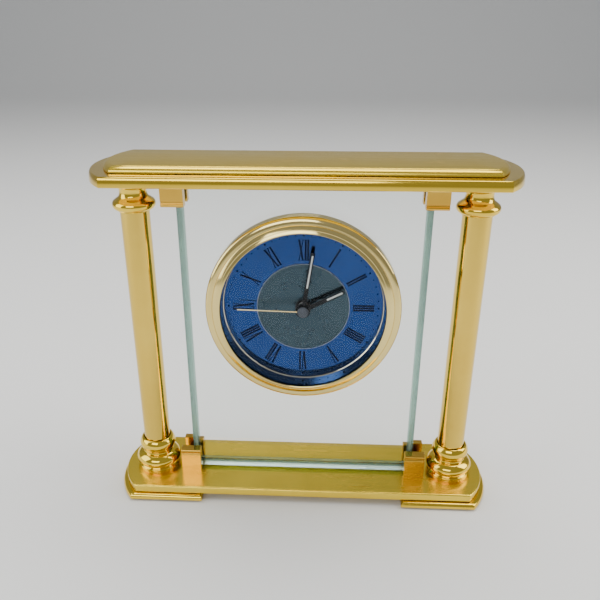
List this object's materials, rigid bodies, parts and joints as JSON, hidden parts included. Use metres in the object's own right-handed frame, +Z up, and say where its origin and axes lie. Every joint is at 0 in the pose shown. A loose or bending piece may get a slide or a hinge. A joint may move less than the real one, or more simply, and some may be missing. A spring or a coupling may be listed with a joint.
{
  "type": "mantel clock",
  "caption": "Brass mantel clock: a stepped top on turned columns over a footed base, with a glass panel in corner clips that carries a round quartz insert.",
  "frame": {"origin": "on the ground, at the middle of the clock's footprint", "axes": "+X to the right as seen from the front, -Y towards the viewer (the dial faces -Y), +Z up"},
  "size_m": [0.1996, 0.054, 0.1769],
  "materials": {
    "polished_brass": "polished and lacquered",
    "satin_brass": "brushed along its length and lacquered",
    "tube_brass": "polished",
    "clear_glass": "clear, polished edges",
    "lens_glass": "clear",
    "dial_silver": "satin, blue-silver",
    "dial_champagne": "spun satin",
    "black_paint": "semi-gloss",
    "grey_paint": "gloss",
    "gilt": "polished",
    "black_plastic": "moulded, matte",
    "white_plastic": "moulded, natural",
    "rubber": "matte",
    "felt": "napped",
    "steel": "bright zinc",
    "copper_wire": "enamelled winding",
    "board_green": "solder mask",
    "cell_wrap": "printed steel jacket"
  },
  "bodies": {
    "frame": {"base_plate": "satin_brass", "capital_left": "polished_brass", "capital_right": "polished_brass", "clip_bottom_left": "polished_brass", "clip_bottom_right": "polished_brass", "clip_screw_bottom_left": "steel", "clip_screw_bottom_right": "steel", "clip_screw_top_left": "steel", "clip_screw_top_right": "steel", "clip_top_left": "polished_brass", "clip_top_right": "polished_brass", "column_base_left": "polished_brass", "column_base_right": "polished_brass", "column_tube_left": "tube_brass", "column_tube_right": "tube_brass", "felt_left": "felt", "felt_right": "felt", "foot_left": "polished_brass", "foot_right": "polished_brass", "glass_panel": "clear_glass", "tie_nut_left": "steel", "tie_nut_right": "steel", "tie_rod_left": "steel", "tie_rod_right": "steel", "top_lower_tier": "polished_brass", "top_upper_tier": "satin_brass", "washer_left": "steel", "washer_right": "steel"},
    "insert": {"bezel": "polished_brass", "lens": "lens_glass", "reflector_ring": "polished_brass", "dial_plate": "dial_silver", "centre_disc": "dial_champagne", "rubber_sleeve": "rubber", "insert_case": "black_plastic", "movement_case": "black_plastic", "movement_cover": "black_plastic", "stator": "steel", "coil": "copper_wire", "circuit_board": "board_green", "quartz_can": "steel", "contact_flat": "steel", "contact_spring": "steel"},
    "second": {"second_hand": "gilt", "hand_cap": "grey_paint", "second_wheel": "white_plastic"},
    "minute": {"minute_hand": "black_paint", "centre_wheel": "white_plastic"},
    "hour": {"hour_hand": "black_paint", "hour_wheel": "white_plastic"},
    "setting": {"motion_wheel": "white_plastic", "set_knob": "black_plastic"},
    "third": {"third_wheel": "white_plastic"},
    "fifth": {"fifth_wheel": "white_plastic"},
    "rotor": {"rotor": "steel"},
    "battery": {"battery": "cell_wrap"}
  },
  "joints": [
    {"name": "insert_pull", "type": "slide", "parent": "frame", "child": "insert", "axis": [0, -1, 0], "range_m": [0, 0.03]},
    {"name": "second_turn", "type": "hinge", "parent": "insert", "child": "second", "pos_m": [0, 0, 0.1056], "axis": [0, 1, 0], "continuous": true},
    {"name": "minute_turn", "type": "hinge", "parent": "insert", "child": "minute", "pos_m": [0, 0, 0.1056], "axis": [0, 1, 0], "continuous": true},
    {"name": "hour_turn", "type": "hinge", "parent": "insert", "child": "hour", "pos_m": [0, 0, 0.1056], "axis": [0, 1, 0], "continuous": true},
    {"name": "setting_turn", "type": "hinge", "parent": "insert", "child": "setting", "pos_m": [0.00916, 0, 0.10721], "axis": [0, 1, 0], "continuous": true},
    {"name": "third_turn", "type": "hinge", "parent": "insert", "child": "third", "pos_m": [-0.00766, 0, 0.11002], "axis": [0, 1, 0], "continuous": true},
    {"name": "fifth_turn", "type": "hinge", "parent": "insert", "child": "fifth", "pos_m": [0.00345, 0, 0.11158], "axis": [0, 1, 0], "continuous": true},
    {"name": "rotor_turn", "type": "hinge", "parent": "insert", "child": "rotor", "pos_m": [0.00856, 0, 0.11453], "axis": [0, 1, 0], "continuous": true},
    {"name": "battery_lift", "type": "slide", "parent": "insert", "child": "battery", "axis": [0, 1, 0], "range_m": [0, 0.02]}
  ],
  "couplings": [
    {"joint": "minute_turn", "follows": "second_turn", "ratio": 0.016667},
    {"joint": "hour_turn", "follows": "second_turn", "ratio": 0.0013889},
    {"joint": "setting_turn", "follows": "second_turn", "ratio": -0.0055556},
    {"joint": "third_turn", "follows": "second_turn", "ratio": -0.13333},
    {"joint": "fifth_turn", "follows": "second_turn", "ratio": -5},
    {"joint": "rotor_turn", "follows": "second_turn", "ratio": 30}
  ]
}
